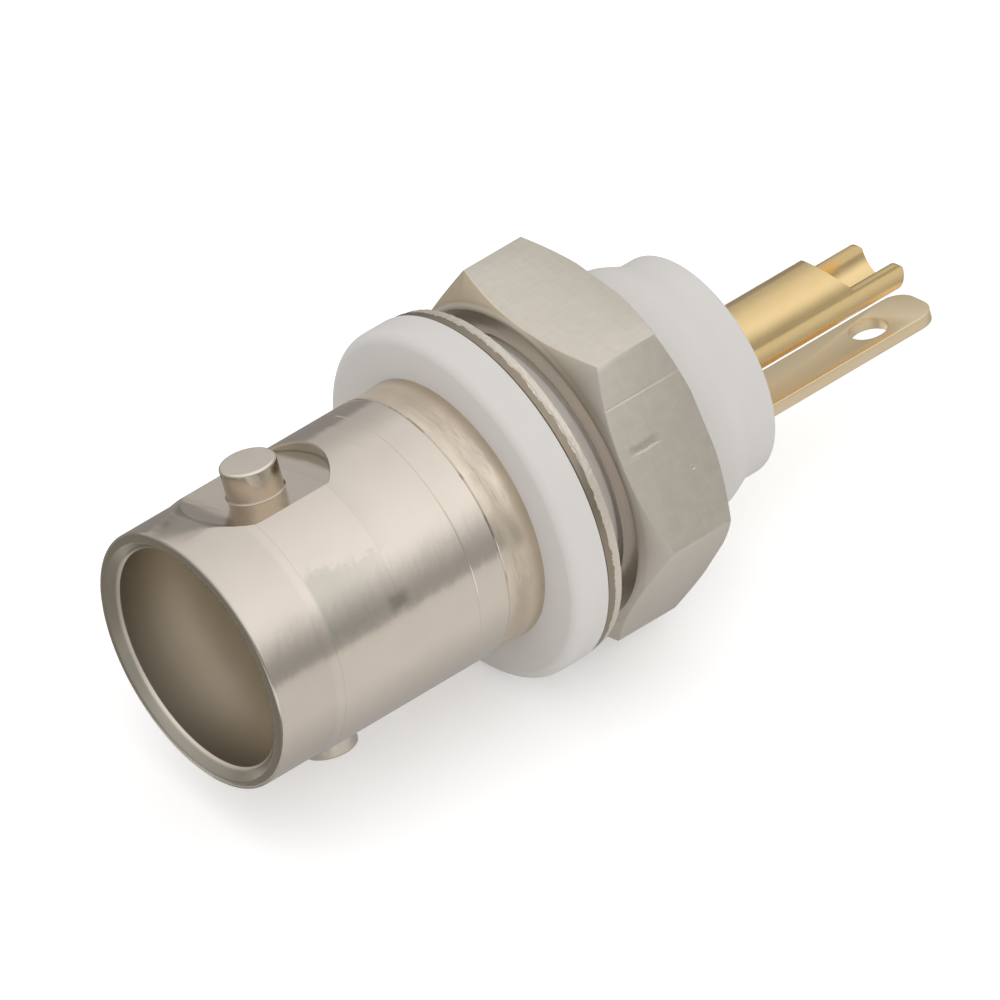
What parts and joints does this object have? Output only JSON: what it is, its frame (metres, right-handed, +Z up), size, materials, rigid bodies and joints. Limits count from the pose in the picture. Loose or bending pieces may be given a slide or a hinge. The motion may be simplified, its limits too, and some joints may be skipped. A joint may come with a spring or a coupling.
{
  "type": "bnc connector",
  "caption": "Insulated bulkhead BNC jack with bayonet studs, white plastic body, lock washer, hexagon nut, gold solder cup and ground tab.",
  "frame": {"origin": "on the connector's axis, in the rear face of the white flange, where a panel seats", "axes": "+Y along the connector's axis from the mouth to the solder cup, +Z up, +X to the right of someone facing the mouth"},
  "size_m": [0.0138, 0.031, 0.013],
  "materials": {
    "nickel_plate": "bright machined nickel plate",
    "nut_plate": "satin nickel plate",
    "washer_steel": "stamped, nickel plated",
    "white_plastic": "fine satin moulding",
    "white_core": "turned fluoropolymer",
    "gold_plate": "bright gold plate"
  },
  "bodies": {
    "jack": {"shell": "nickel_plate", "insulator": "white_plastic", "dielectric": "white_core", "centre_contact": "gold_plate", "ground_tab": "gold_plate"},
    "washer": {"lock_washer": "washer_steel"},
    "nut": {"hex_nut": "nut_plate"}
  },
  "joints": [
    {"name": "washer_travel", "type": "slide", "parent": "jack", "child": "washer", "axis": [0, 1, 0], "range_m": [0, 0.00476]},
    {"name": "nut_turn", "type": "hinge", "parent": "washer", "child": "nut", "pos_m": [0, 0.00345, 0], "axis": [0, 1, 0], "range_deg": [0, 2160]}
  ],
  "couplings": [
    {"joint": "nut_turn", "follows": "washer_travel", "rad_per_m": 7915.8}
  ]
}
